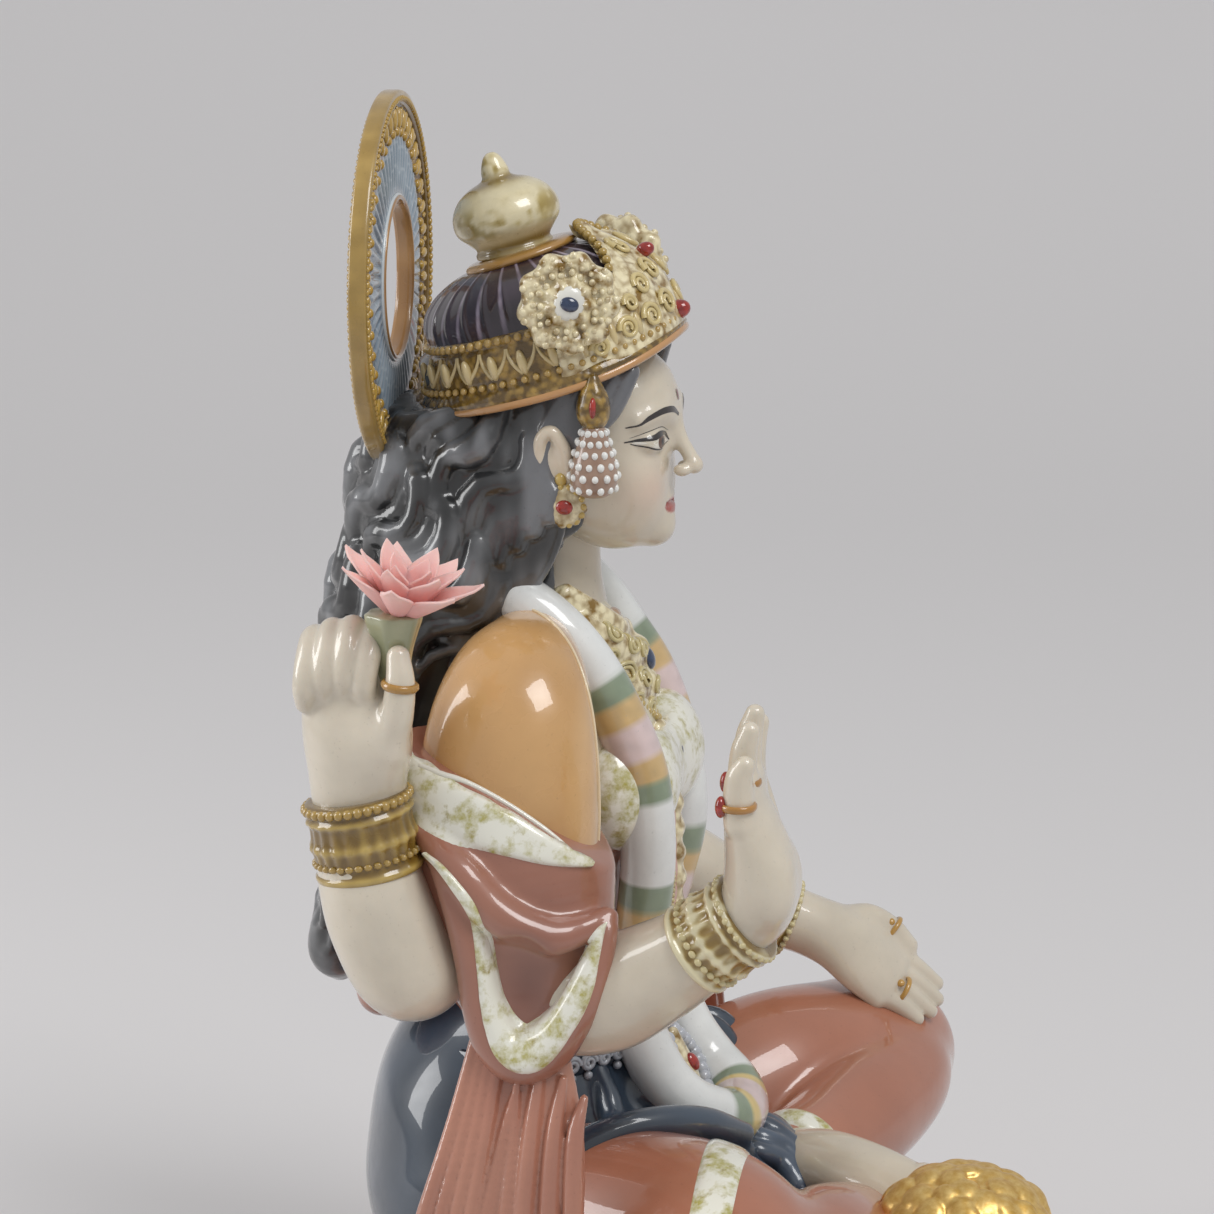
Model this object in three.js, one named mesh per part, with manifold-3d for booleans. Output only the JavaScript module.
// A seated many-armed deity statuette in glazed porcelain: halo, crown, long hair, garland, draped shawl and
// crossed legs on a lotus seat, with a pot of gold coins in front.
// Millimetres, +Z up. The origin is at the centre of the underside, and the figure faces -Y.
// The figure's right side is at -X. Pieces are cast separately and luted together.

import * as THREE from 'three';
import { LoftGeometry } from 'three/addons/geometries/LoftGeometry.js';
import { mergeVertices } from 'three/addons/utils/BufferGeometryUtils.js';
import Module from 'manifold-3d';

const wasm = await Module();
wasm.setup();

// ---- Driving dimensions -------------------------------------------------------------------------------------

const FIT_GAP = 0.3; // luting gap between neighbouring pieces

const PLINTH_HEIGHT = 7;
const SEAT_Z = 36; // top of the lotus seat, on which the figure sits
const SEAT_HALF_WIDTH = 116;
const SEAT_DEPTH_RATIO = 0.9; // the seat's plan is an ellipse, narrower from front to back
const PETAL_COUNT = 12;
const VENT_RADIUS = 8; // firing vent under the base

const SPINE_Y = 38; // the trunk stands this far behind the middle of the base
const CHEST_Z = 200;
const NECK_Z = 244;
const HEAD_Z = 290;
const HALO_Z = 328;
const HALO_Y = 84;
const HALO_RADIUS = 50;
const HALO_HOLE_RADIUS = 21;

const CROWN_Z = 303;
const CROWN_Y = 39;
const CROWN_TILT = THREE.MathUtils.degToRad(17); // leans back
const CROWN_RADIUS = 36;

const SHOULDER_BACK = 14; // the left shoulder is turned back
const SHOULDER_DROP = 9; // and down

const KNEE_X = 117;
const POT_X = -38;
const POT_Y = -80;

const RIGHT = -1;
const LEFT = 1;
const X_AXIS = new THREE.Vector3(1, 0, 0);
const Y_AXIS = new THREE.Vector3(0, 1, 0);
const Z_AXIS = new THREE.Vector3(0, 0, 1);

// ---- Materials ----------------------------------------------------------------------------------------------

const glaze = (color, roughness = 0.12, metalness = 0) =>
  new THREE.MeshStandardMaterial({ color, roughness, metalness });

const SKIN = glaze(0xdcd3c2);
const HAIR = glaze(0x35363a);
const BLUE = glaze(0x2c3a4a);
const TERRACOTTA = glaze(0xa5705e);
const CARAMEL = glaze(0xd3a56f);
const TRIM = glaze(0xc6bd8c);
const WHITE = glaze(0xe8eae8);
const PINK = glaze(0xe9a9a6, 0.6);
const STEM_GREEN = glaze(0x8b8f6c);
const PURPLE = glaze(0x4a3c4a);
const HALO_BLUE = glaze(0x8391a3);
const OLIVE_GOLD = glaze(0xa8883f);
const GOLD = glaze(0xd8b25c, 0.3, 1);
const PEARL = glaze(0xb9a79a);
const SEAT_ROSE = glaze(0xe6c2bd);

// ---- Solids -------------------------------------------------------------------------------------------------

// A closed geometry as a solid that can be joined and cut.
function solidOf(geometry) {
  const bare = new THREE.BufferGeometry().copy(geometry);
  for (const name of ['normal', 'uv']) bare.deleteAttribute(name);
  const merged = mergeVertices(bare, 1e-4);
  return new wasm.Manifold(new wasm.Mesh({
    numProp: 3,
    vertProperties: merged.attributes.position.array,
    triVerts: new Uint32Array(merged.index.array),
  }));
}

function geometryOf(solid) {
  const { vertProperties, triVerts, numProp, numVert } = solid.getMesh();
  const positions = new Float32Array(numVert * 3);
  for (let i = 0; i < numVert; i++) {
    positions.set(vertProperties.subarray(i * numProp, i * numProp + 3), i * 3);
  }
  const geometry = new THREE.BufferGeometry();
  geometry.setAttribute('position', new THREE.BufferAttribute(positions, 3));
  geometry.setIndex(new THREE.BufferAttribute(new Uint32Array(triVerts), 1));
  geometry.computeVertexNormals();
  return geometry;
}

const joined = (...solids) => solids.reduce((a, b) => a.add(b));

const largestBody = (solid) =>
  solid.decompose().reduce((a, b) => (b.volume() > a.volume() ? b : a));

// Sections of an ellipse that follows a smooth line. A station is [x, y, z, half width, half thickness], and
// `across` gives the direction that the width lies along at a point.
function sectionsAlong(stations, { grow, sides, across, closed = false }) {
  const line = new THREE.CatmullRomCurve3(
    stations.map(([x, y, z]) => new THREE.Vector3(x, y, z)), closed, 'centripetal');
  const size = new THREE.CatmullRomCurve3(
    stations.map(([, , , a, b]) => new THREE.Vector3(a, b ?? a, 0)), closed, 'centripetal');
  const spans = closed ? stations.length : stations.length - 1;
  const sections = [];

  const addSection = (t, beyond = 0, scale = 1) => {
    const tangent = line.getTangent(t);
    const side = across(line.getPoint(t)).projectOnPlane(tangent).normalize();
    const third = tangent.clone().cross(side);
    const radii = size.getPoint(t);
    const a = (radii.x + grow) * scale;
    const b = (radii.y + grow) * scale;
    const centre = line.getPoint(t).addScaledVector(tangent, beyond * (Math.min(radii.x, radii.y) + grow));
    const ring = [];
    for (let i = 0; i < sides; i++) {
      const angle = (2 * Math.PI * i) / sides;
      ring.push(centre.clone()
        .addScaledVector(side, a * Math.cos(angle))
        .addScaledVector(third, b * Math.sin(angle)));
    }
    sections.push(ring);
  };

  if (!closed) addSection(0, -0.75, 0.62);
  for (let i = 0; i < spans; i++) addSection(i / spans);
  if (closed) return sections;
  addSection(1);
  addSection(1, 0.75, 0.62);
  return sections;
}

// A round-ended body that follows a smooth line.
function limb(stations, grow = 0, { sides = 10, across = X_AXIS } = {}) {
  const sections = sectionsAlong(stations, { grow, sides, across: () => across.clone() });
  return solidOf(new LoftGeometry(sections, { capStart: true, capEnd: true }));
}

// A closed loop of varying thickness round a middle point.
function loop(stations, middle, grow = 0, sides = 7) {
  const outwards = (point) => point.sub(new THREE.Vector3(...middle));
  const sections = sectionsAlong(stations, { grow, sides, across: outwards, closed: true });
  return solidOf(new LoftGeometry([...sections, sections[0]]));
}

function ellipsoid([x, y, z], [a, b, c], grow = 0, rings = 8) {
  const ball = new THREE.SphereGeometry(1, rings + 4, rings);
  ball.rotateX(Math.PI / 2);
  ball.scale(a + grow, b + grow, c + grow);
  return solidOf(ball.translate(x, y, z));
}

// A turned body: the profile is [radius, height] pairs, moved outwards by `grow`, standing at `at` along `axis`.
function turned(profile, at, axis = Z_AXIS, { segments = 24, depthRatio = 1 } = {}) {
  const geometry = new THREE.LatheGeometry(profile.map(([r, h]) => new THREE.Vector2(r, h)), segments);
  geometry.rotateX(Math.PI / 2); // the lathe's +Y becomes +Z
  geometry.scale(1, depthRatio, 1);
  geometry.applyQuaternion(new THREE.Quaternion().setFromUnitVectors(Z_AXIS, axis.clone().normalize()));
  return solidOf(geometry.translate(...at));
}

// A band round an axis, between two radii, with its height centred on `at`.
function band(inner, outer, height, at, axis, grow = 0, options) {
  const low = -height / 2 - grow;
  const high = height / 2 + grow;
  const r = inner - grow;
  const bulge = outer + grow;
  const lip = bulge - 0.08 * outer;
  return turned([[r, low], [lip, low], [bulge, 0], [lip, high], [r, high], [r, low]], at, axis, options);
}

// A solid cuff between two lengths of a limb.
function cuff(radius, height, at, axis, grow) {
  const r = radius + grow;
  const h = height / 2 + grow;
  return turned([[0, -h], [r * 0.9, -h], [r, -h * 0.6], [r, h * 0.6], [r * 0.9, h], [0, h]], at, axis,
    { segments: 16 });
}

// A solid button or dome on an axis.
function dome(radius, height, at, axis, grow = 0, segments = 16) {
  const r = radius + grow;
  const h = height + grow;
  return turned([[0, -grow], [r * 0.9, -grow], [r, h * 0.3], [r * 0.75, h * 0.85], [0, h]],
    at, axis, { segments });
}

// ---- Lotus seat ---------------------------------------------------------------------------------------------

const seatOptions = { segments: 28, depthRatio: SEAT_DEPTH_RATIO };
const DRUM_RADIUS = SEAT_HALF_WIDTH - 8;
const LIP_Z = SEAT_Z - 5;

function plinth() {
  const edge = SEAT_HALF_WIDTH - 2;
  return turned([[VENT_RADIUS, 1.5], [edge - 22, 1.5], [edge - 19, 0], [edge - 4, 0], [edge, 2.5],
    [edge, PLINTH_HEIGHT], [VENT_RADIUS, PLINTH_HEIGHT], [VENT_RADIUS, 1.5]], [0, 0, 0], Z_AXIS, seatOptions);
}

// A solid drum with a lip round its top.
function lotusCore(grow) {
  const low = PLINTH_HEIGHT + FIT_GAP;
  return turned([[0, low], [DRUM_RADIUS, low], [DRUM_RADIUS, LIP_Z], [SEAT_HALF_WIDTH, LIP_Z],
    [SEAT_HALF_WIDTH, SEAT_Z - 2], [SEAT_HALF_WIDTH - 2, SEAT_Z + grow], [0, SEAT_Z + grow]],
  [0, 0, 0], Z_AXIS, seatOptions);
}

// A ring of drooping petals on a collar round the drum. `top` is the collar's upper edge.
function petalRing(top, width, turn) {
  const inner = DRUM_RADIUS + 2 * FIT_GAP;
  const collar = turned([[inner, top - 7], [inner + 7, top - 7], [inner + 7, top], [inner, top], [inner, top - 7]],
    [0, 0, 0], Z_AXIS, seatOptions);
  const petals = Array.from({ length: PETAL_COUNT }, (_, i) => {
    const angle = (2 * Math.PI * (i + turn)) / PETAL_COUNT;
    const outX = Math.cos(angle);
    const outY = Math.sin(angle) * SEAT_DEPTH_RATIO;
    const across = new THREE.Vector3(-outY, outX, 0).normalize();
    const station = (reach, z, a, b) => [outX * reach, outY * reach, z, a, b];
    return limb([station(inner + 6, top - 4, width, 3.5), station(inner + 22, top - 10, width * 0.7, 3)], 0,
      { sides: 4, across });
  });
  return joined(collar, ...petals);
}

const upperPetals = () => petalRing(LIP_Z - FIT_GAP, 23, 0);
const lowerPetals = () => petalRing(LIP_Z - 12, 22, 0.5);

// ---- Body ---------------------------------------------------------------------------------------------------

const hips = (grow) => ellipsoid([0, SPINE_Y + 9, 82], [63, 45, 47], grow, 10);

function leg(side, thighStations, calfStations, grow) {
  const sideways = (stations) => stations.map(([x, ...rest]) => [side * x, ...rest]);
  const thigh = limb(sideways(thighStations), grow, { across: Z_AXIS });
  const calf = limb(sideways(calfStations), grow, { across: Z_AXIS });
  return joined(thigh, calf);
}

const rightLeg = (grow) => leg(RIGHT,
  [[36, 50, 78, 28], [52, 12, 81, 31, 29], [70, -16, 83, 33, 30], [90, -30, 77, 29, 28], [106, -36, 74, 25, 25]],
  [[106, -40, 70, 24, 22], [84, -44, 70, 27, 23], [60, -44, 69, 28, 24], [34, -47, 66, 25, 21], [8, -50, 60, 20, 17],
    [-12, -52, 54, 14, 12]], grow);
const leftLeg = (grow) => leg(LEFT,
  [[36, 50, 78, 28], [52, 14, 79, 29, 28], [70, -10, 79, 29, 28], [90, -26, 77, 27, 27], [105, -34, 75, 25, 25]],
  [[106, -38, 70, 24, 20], [84, -43, 72, 24, 19], [60, -43, 75, 22, 18], [36, -41, 80, 17, 15], [6, -36, 87, 11, 11]],
  grow);

// The left foot lies over the right calf, and the right foot is tucked under the left knee.
const leftFoot = (grow) => limb([[2, -31, 86, 11, 9], [-8, -40, 87, 11, 8], [-20, -54, 88, 11, 6],
  [-27, -63, 87, 9, 4]], grow, { across: Z_AXIS });
const rightFoot = (grow) => limb([[18, -52, 50, 9, 10], [32, -56, 47, 8, 11], [50, -60, 45, 6, 11],
  [60, -61, 44, 4, 8]], grow, { across: Z_AXIS });

const torso = (grow) => joined(
  limb([[0, 46, 100, 46, 33], [0, 43, 128, 38, 27], [0, 40, 152, 35, 24], [0, SPINE_Y, 180, 41, 27],
    [0, SPINE_Y, 208, 45, 27], [0, SPINE_Y + 1, 224, 40, 22], [0, SPINE_Y + 1, 234, 24, 16]], grow, { sides: 16 }),
  ellipsoid([RIGHT * 20, 19, CHEST_Z - 5], [16, 14, 17], grow, 6),
  ellipsoid([LEFT * 20, 19, CHEST_Z - 5], [16, 14, 17], grow, 6));

const neck = (grow) => limb([[0, SPINE_Y + 1, NECK_Z + 2, 13.5], [0, SPINE_Y + 1, NECK_Z + 18, 12.5]], grow);

const head = (grow) => joined(
  ellipsoid([0, SPINE_Y + 3, HEAD_Z + 6], [24, 29, 26], grow),
  ellipsoid([0, SPINE_Y - 10, HEAD_Z - 8], [19, 20, 26], grow),
  limb([[0, 9, 293, 3, 3], [0, 5, 283, 4, 3.5], [0, 3.5, 279, 4.5, 3.5]], grow, { sides: 6 }));

// ---- Hair and halo ------------------------------------------------------------------------------------------

const hair = (grow) => joined(
  ellipsoid([0, SPINE_Y + 8, HEAD_Z + 5], [28, 33, 29], grow),
  limb([[0, 62, 292, 29, 28], [0, 67, 264, 34, 31], [0, 75, 240, 40, 26], [0, 83, 214, 41, 18],
    [0, 88, 186, 36, 15], [0, 93, 160, 26, 12], [0, 99, 146, 15, 9]], grow, { sides: 14 }));

const haloAxis = new THREE.Vector3(0, -1, 0);
const haloCentre = [0, HALO_Y, HALO_Z];
const haloOptions = { segments: 32 };
const haloRim = () => band(HALO_RADIUS - 4.2, HALO_RADIUS, 4.8, haloCentre, haloAxis, 0, haloOptions);
const haloDisc = () => band(HALO_HOLE_RADIUS + 1.6, HALO_RADIUS - 4.5, 3.4, haloCentre, haloAxis, 0, haloOptions);
const haloHoleRing = () => band(HALO_HOLE_RADIUS - 1, HALO_HOLE_RADIUS + 1.3, 4.6, haloCentre, haloAxis, 0,
  { segments: 28 });

// ---- Crown --------------------------------------------------------------------------------------------------

const crownAxis = new THREE.Vector3(0, Math.sin(CROWN_TILT), Math.cos(CROWN_TILT));

// A place in the crown's own leaning frame: sideways, back and up.
function onCrown(x, back, up) {
  return [x, CROWN_Y + back * Math.cos(CROWN_TILT) + up * Math.sin(CROWN_TILT),
    CROWN_Z - back * Math.sin(CROWN_TILT) + up * Math.cos(CROWN_TILT)];
}

const crownBand = () => band(CROWN_RADIUS - 7, CROWN_RADIUS, 20, onCrown(0, 0, 6), crownAxis, 0, { segments: 24 });

const crownCap = () => turned([[0, 0], [CROWN_RADIUS - 1.5, 0], [CROWN_RADIUS - 3, 8], [CROWN_RADIUS - 10, 16],
  [15, 20], [0, 20]], onCrown(0, 0, 16.3), crownAxis, { segments: 24 });

const crownFinial = () => turned([[0, 0], [14.5, 0], [13.5, 2.5], [8, 3.5], [8.5, 5], [14, 8], [14.6, 11], [11, 15],
  [4.5, 18], [3.6, 20], [3.8, 24], [2, 27], [0, 27.5]], onCrown(0, -2, 36.6), crownAxis, { segments: 14 });

const crownFrontPlate = (grow) => limb([[...onCrown(0, -37, 4), 21, 3.5], [...onCrown(0, -37, 12), 24, 3.5],
  [...onCrown(0, -33, 25), 17, 3.5], [...onCrown(0, -27, 36), 5, 3]], grow);

const rosetteAxis = (side) => new THREE.Vector3(side * 0.92, -0.36, 0.15);
const crownRosette = (side, grow) => dome(14, 5, [side * 33, 27, 326], rosetteAxis(side), grow, 18);

// ---- Ear ornaments ------------------------------------------------------------------------------------------

const templeDrop = (side, grow) => limb([[side * 31, 22, 299, 4.6, 3.6], [side * 31, 22, 306, 2.2, 2]], grow,
  { sides: 8 });
const pearlCluster = (side, grow) => limb([[side * 31, 21.5, 277, 6.6, 5], [side * 31, 21.5, 283, 6, 4.6],
  [side * 30.5, 22, 292, 4, 3.4]], grow, { sides: 8, across: Y_AXIS });
const earStud = (side, grow) => dome(5, 4, [side * 25, 32, 276], new THREE.Vector3(side, -0.1, 0), grow, 12);

// ---- Sleeves and shawl --------------------------------------------------------------------------------------

// The left shoulder's stations are turned back and dropped, less and less towards the elbow.
function fromShoulder(side, stations) {
  return stations.map(([x, y, z, ...radii]) => {
    const share = side === LEFT ? THREE.MathUtils.smoothstep(z, 150, 225) : 0;
    return [side * (x - 4 * share), y + SHOULDER_BACK * share, z - SHOULDER_DROP * share, ...radii];
  });
}

const sleeve = (side, grow) => limb(fromShoulder(side, [[46, SPINE_Y + 1, 232, 17, 18], [55, SPINE_Y, 219, 17, 21],
  [61, SPINE_Y, 198, 17, 23], [65, SPINE_Y - 1, 180, 15, 22]]), grow, { sides: 12 });

const shawl = (side, grow) => joined(
  limb(fromShoulder(side, [[58, 42, 204, 18, 27], [65, 38, 186, 21, 28], [71, 34, 162, 18, 25], [78, 31, 142, 11, 13]]),
    grow, { sides: 12 }),
  limb(fromShoulder(side, [[54, 50, 200, 14, 20], [34, 68, 172, 24, 14], [22, 78, 138, 22, 12]]), grow));

const shawlPleats = (side, grow) => limb([[side * 77, 38, 140, 8, 14], [side * 88, 38, 112, 6, 21],
  [side * 96, 38, 76, 6, 25], [side * 100, 38, 42, 6, 27]], grow, { sides: 12 });

// ---- Arms ---------------------------------------------------------------------------------------------------

const rearArm = (side, grow) => limb([[side * 72, 46, 170, 15, 16], [side * 80, 54, 160, 16, 16.5],
  [side * 85, 62, 174, 14.5, 15.5], [side * 84, 68, 192, 12.5, 13], [side * 83, 71, 214, 11.5, 12]], grow,
{ sides: 12 });
const rearBracelet = (side, grow) => cuff(14.5, 21, [side * 84, 70, 199], new THREE.Vector3(side * -0.02, 0.17, 0.98),
  grow);
const rearHand = (side, grow) => joined(
  limb([[side * 81, 72, 216, 11, 12], [side * 80, 73, 228, 13.5, 13], [side * 79, 75, 240, 13, 12]], grow),
  limb([[side * 79, 64, 226, 5, 5], [side * 78, 61, 238, 5, 5], [side * 77, 63, 248, 4.5, 4.5]], grow,
    { sides: 6 }));
const lotusStem = (side, grow) => limb([[side * 85, 58, 230, 4], [side * 85, 59, 254, 4.6]], grow,
  { sides: 8 });

// A bowl whose wall is drawn out into pointed petals.
function petalBowl(petals, radius, height, [x, y, z], grow) {
  const profile = [[0, 0], [0.5, 0.1], [1, 0.75], [0.95, 1], [0.45, 0.45], [0, 0.4]];
  const points = profile.map(([r, h]) => new THREE.Vector2(r * radius, h * height));
  const bowl = new THREE.LatheGeometry(points, petals * 2);
  bowl.rotateX(Math.PI / 2);
  const position = bowl.attributes.position;
  for (let i = 0; i < position.count; i++) {
    const angle = Math.atan2(position.getY(i), position.getX(i));
    const notch = 0.82 + 0.18 * Math.cos(petals * angle);
    const reach = Math.hypot(position.getX(i), position.getY(i)) > radius * 0.7 ? notch : 1;
    position.setXYZ(i, position.getX(i) * reach, position.getY(i) * reach, position.getZ(i));
  }
  const swell = 1 + grow / height;
  bowl.scale(swell, swell, swell);
  return solidOf(bowl.translate(x, y, z - grow));
}

// Two whorls of petals, one inside the other.
const lotusFlower = (side, grow) => joined(
  petalBowl(8, 16.5, 10, [side * 80, 60, 258], grow),
  petalBowl(6, 9.5, 14, [side * 80, 60, 258], grow));

const frontArm = (side, elbow, wrist, grow) => limb([[...elbow, 15, 16],
  [side * 79, 14, (elbow[2] + wrist[2]) / 2 - 3, 14.5, 15.5], [...wrist, 11.5, 11.5]], grow, { sides: 12 });

const rightForearm = (grow) => frontArm(RIGHT, [-73, 34, 156], [-80, -20, 175], grow);
const leftForearm = (grow) => frontArm(LEFT, [73, 34, 152], [87, -14, 126], grow);
const rightBracelet = (grow) => cuff(13.5, 19, [-80, -22, 177], new THREE.Vector3(-0.06, -0.80, 0.60), grow);
const leftBracelet = (grow) => cuff(14, 14, [85, -7, 129], new THREE.Vector3(0.2, -0.88, -0.45), grow);

// The palm faces forwards with the fingers up.
const rightFrontHand = (grow) => joined(
  limb([[-80, -30, 181, 11, 9], [-80, -37, 190, 13, 9], [-82, -37, 204, 14, 7.5], [-84, -34, 218, 12, 5.5],
    [-86, -30, 234, 7, 3.5]], grow),
  limb([[-70, -36, 192, 5, 5], [-64, -39, 204, 3.5, 3.5], [-63, -38, 212, 2.5, 2.5]], grow, { sides: 6 }));

// The hand lies over the knee with the fingers forward.
const leftFrontHand = (grow) => joined(
  limb([[88, -20, 122, 11, 9], [91, -30, 114, 13, 8], [95, -42, 105, 13, 6], [99, -54, 98, 9, 4]], grow),
  limb([[80, -26, 114, 5, 5], [76, -36, 108, 3.5, 3.5]], grow, { sides: 6 }));

// ---- Dress ornaments ----------------------------------------------------------------------------------------

// The garland's line down the figure's right side, from the nape to the lap, where the two sides meet.
const garlandSide = [[-26, 44, 247, 7], [-28.5, 27, 235, 7.4], [-28.5, 17, 219, 7.4], [-28, 10, 203, 7.4],
  [-28, 8, 182, 7.4], [-26, 10, 158, 7.2], [-22, 12, 134, 7.2], [-19, 5, 114, 7.6], [-14, -6, 102, 8]];

function garland(grow) {
  const left = garlandSide.map(([x, y, z, r]) => [-x, y + 0.12 * Math.max(z - 180, 0), z, r]).reverse();
  return loop([[0, 58, 248, 6], ...garlandSide, [0, -12, 98, 8.4], ...left], [0, 30, 180], grow, 6);
}

const necklace = (grow) => joined(
  loop([[0, 55, 246, 3.5], [-17, 42, 244, 3.5], [-15, 27, 237, 3.5], [0, 21, 232, 4], [15, 27, 237, 3.5],
    [17, 42, 244, 3.5]], [0, SPINE_Y, NECK_Z], grow),
  limb([[0, 20, 230, 15, 5], [0, 16, 222, 13, 5], [0, 11, 211, 5, 4]], grow));

function belt(grow) {
  const geometry = new THREE.TorusGeometry(1, 0.09, 6, 24);
  geometry.scale(46 + grow, 35 + grow, 44 + grow * 11);
  return solidOf(geometry.translate(0, 44, 124));
}

const lapPendant = (grow) => limb([[0, 1, 118, 5, 3], [0, -2, 110, 6, 3.5], [0, -6, 103, 4, 3]], grow);
const sashKnot = (grow) => joined(
  limb([[0, -20, 98, 8, 7], [3, -30, 94, 12, 8], [8, -38, 98, 9, 6]], grow),
  limb([[-3, -24, 94, 8, 7], [-10, -34, 96, 9, 6]], grow));

// The gold-edged border that crosses a leg.
const legHem = (side, at, axis, inner, grow) =>
  band(inner - 6, inner + 2.2, 13, at, new THREE.Vector3(side * axis[0], axis[1], axis[2]), grow, { segments: 14 });
const rightLegHem = (grow) => legHem(RIGHT, [-71, -17, 83], [0.80, -0.58, -0.14], 32, grow);
const leftLegHem = (grow) => legHem(LEFT, [16, -38, 85], [0.94, -0.1, -0.3], 13.5, grow);

// ---- Pot of coins -------------------------------------------------------------------------------------------

const coinPot = () => turned([[0, SEAT_Z + FIT_GAP], [13, SEAT_Z + FIT_GAP], [14, 40], [11.5, 43], [20, 52],
  [23.5, 63], [21, 74], [15.5, 80], [19, 84], [18.5, 87], [0, 87]], [POT_X, POT_Y, 0], Z_AXIS, { segments: 20 });
const coinHeap = () => turned([[0, 87.3], [20, 87.3], [22.5, 89], [21, 93], [16, 98], [8, 102], [0, 103]],
  [POT_X, POT_Y, 0], Z_AXIS, { segments: 14 });

// ---- Assembly -----------------------------------------------------------------------------------------------

// A piece is its name, its material and its shape, and a shape takes how far to grow.
const pair = (name, material, shape) => [
  [`right_${name}`, material, (grow) => shape(RIGHT, grow)],
  [`left_${name}`, material, (grow) => shape(LEFT, grow)],
];

// Each piece is cut back from all those listed before it.
const castings = {
  lotus_seat: [
    ['plinth', WHITE, plinth],
    ['lotus_core', SEAT_ROSE, lotusCore],
    ['lotus_upper_petals', SEAT_ROSE, upperPetals],
    ['lotus_lower_petals', SEAT_ROSE, lowerPetals],
  ],
  figure: [
    ['hips', BLUE, hips],
    ['torso', TERRACOTTA, torso],
    ['right_leg', TERRACOTTA, rightLeg],
    ['left_leg', TERRACOTTA, leftLeg],
    ['left_foot', SKIN, leftFoot],
    ['right_foot', SKIN, rightFoot],
    ['neck', SKIN, neck],
    ['head', SKIN, head],
  ],
  halo: [
    ['halo_rim', OLIVE_GOLD, haloRim],
    ['halo_disc', HALO_BLUE, haloDisc],
    ['halo_hole_ring', CARAMEL, haloHoleRing],
  ],
  drapery: [
    ...pair('sleeve', CARAMEL, sleeve),
    ...pair('shawl', TERRACOTTA, shawl),
    ...pair('shawl_pleats', TERRACOTTA, shawlPleats),
  ],
  headdress: [
    ['hair', HAIR, hair],
    ['crown_band', OLIVE_GOLD, crownBand],
    ['crown_cap', PURPLE, crownCap],
    ['crown_finial', TRIM, crownFinial],
    ['crown_front_plate', OLIVE_GOLD, crownFrontPlate],
    ...pair('crown_rosette', TRIM, crownRosette),
    ...pair('temple_drop', OLIVE_GOLD, templeDrop),
    ...pair('pearl_cluster', PEARL, pearlCluster),
    ...pair('ear_stud', OLIVE_GOLD, earStud),
  ],
  arms: [
    ...pair('rear_bracelet', OLIVE_GOLD, rearBracelet),
    ...pair('rear_arm', SKIN, rearArm),
    ...pair('rear_hand', SKIN, rearHand),
    ...pair('lotus_stem', STEM_GREEN, lotusStem),
    ...pair('lotus_flower', PINK, lotusFlower),
    ['right_front_bracelet', OLIVE_GOLD, rightBracelet],
    ['left_front_bracelet', OLIVE_GOLD, leftBracelet],
    ['right_forearm', SKIN, rightForearm],
    ['left_forearm', SKIN, leftForearm],
    ['right_front_hand', SKIN, rightFrontHand],
    ['left_front_hand', SKIN, leftFrontHand],
  ],
  ornaments: [
    ['lap_pendant', OLIVE_GOLD, lapPendant],
    ['garland', WHITE, garland],
    ['necklace', OLIVE_GOLD, necklace],
    ['belt', PEARL, belt],
    ['sash_knot', BLUE, sashKnot],
    ['right_leg_hem', TRIM, rightLegHem],
    ['left_leg_hem', TRIM, leftLegHem],
  ],
  offering: [
    ['coin_pot', GOLD, coinPot],
    ['coin_heap', GOLD, coinHeap],
  ],
};

const statuette = new THREE.Group();
statuette.name = 'deity_statuette';
const placed = [];

for (const [groupName, pieces] of Object.entries(castings)) {
  const group = new THREE.Group();
  group.name = groupName;
  statuette.add(group);
  for (const [name, material, shape] of pieces) {
    const cut = placed.reduce((solid, neighbour) => solid.subtract(neighbour), shape(0));
    const mesh = new THREE.Mesh(geometryOf(largestBody(cut)), material);
    mesh.name = name;
    group.add(mesh);
    placed.push(shape(FIT_GAP));
  }
}

export default statuette;
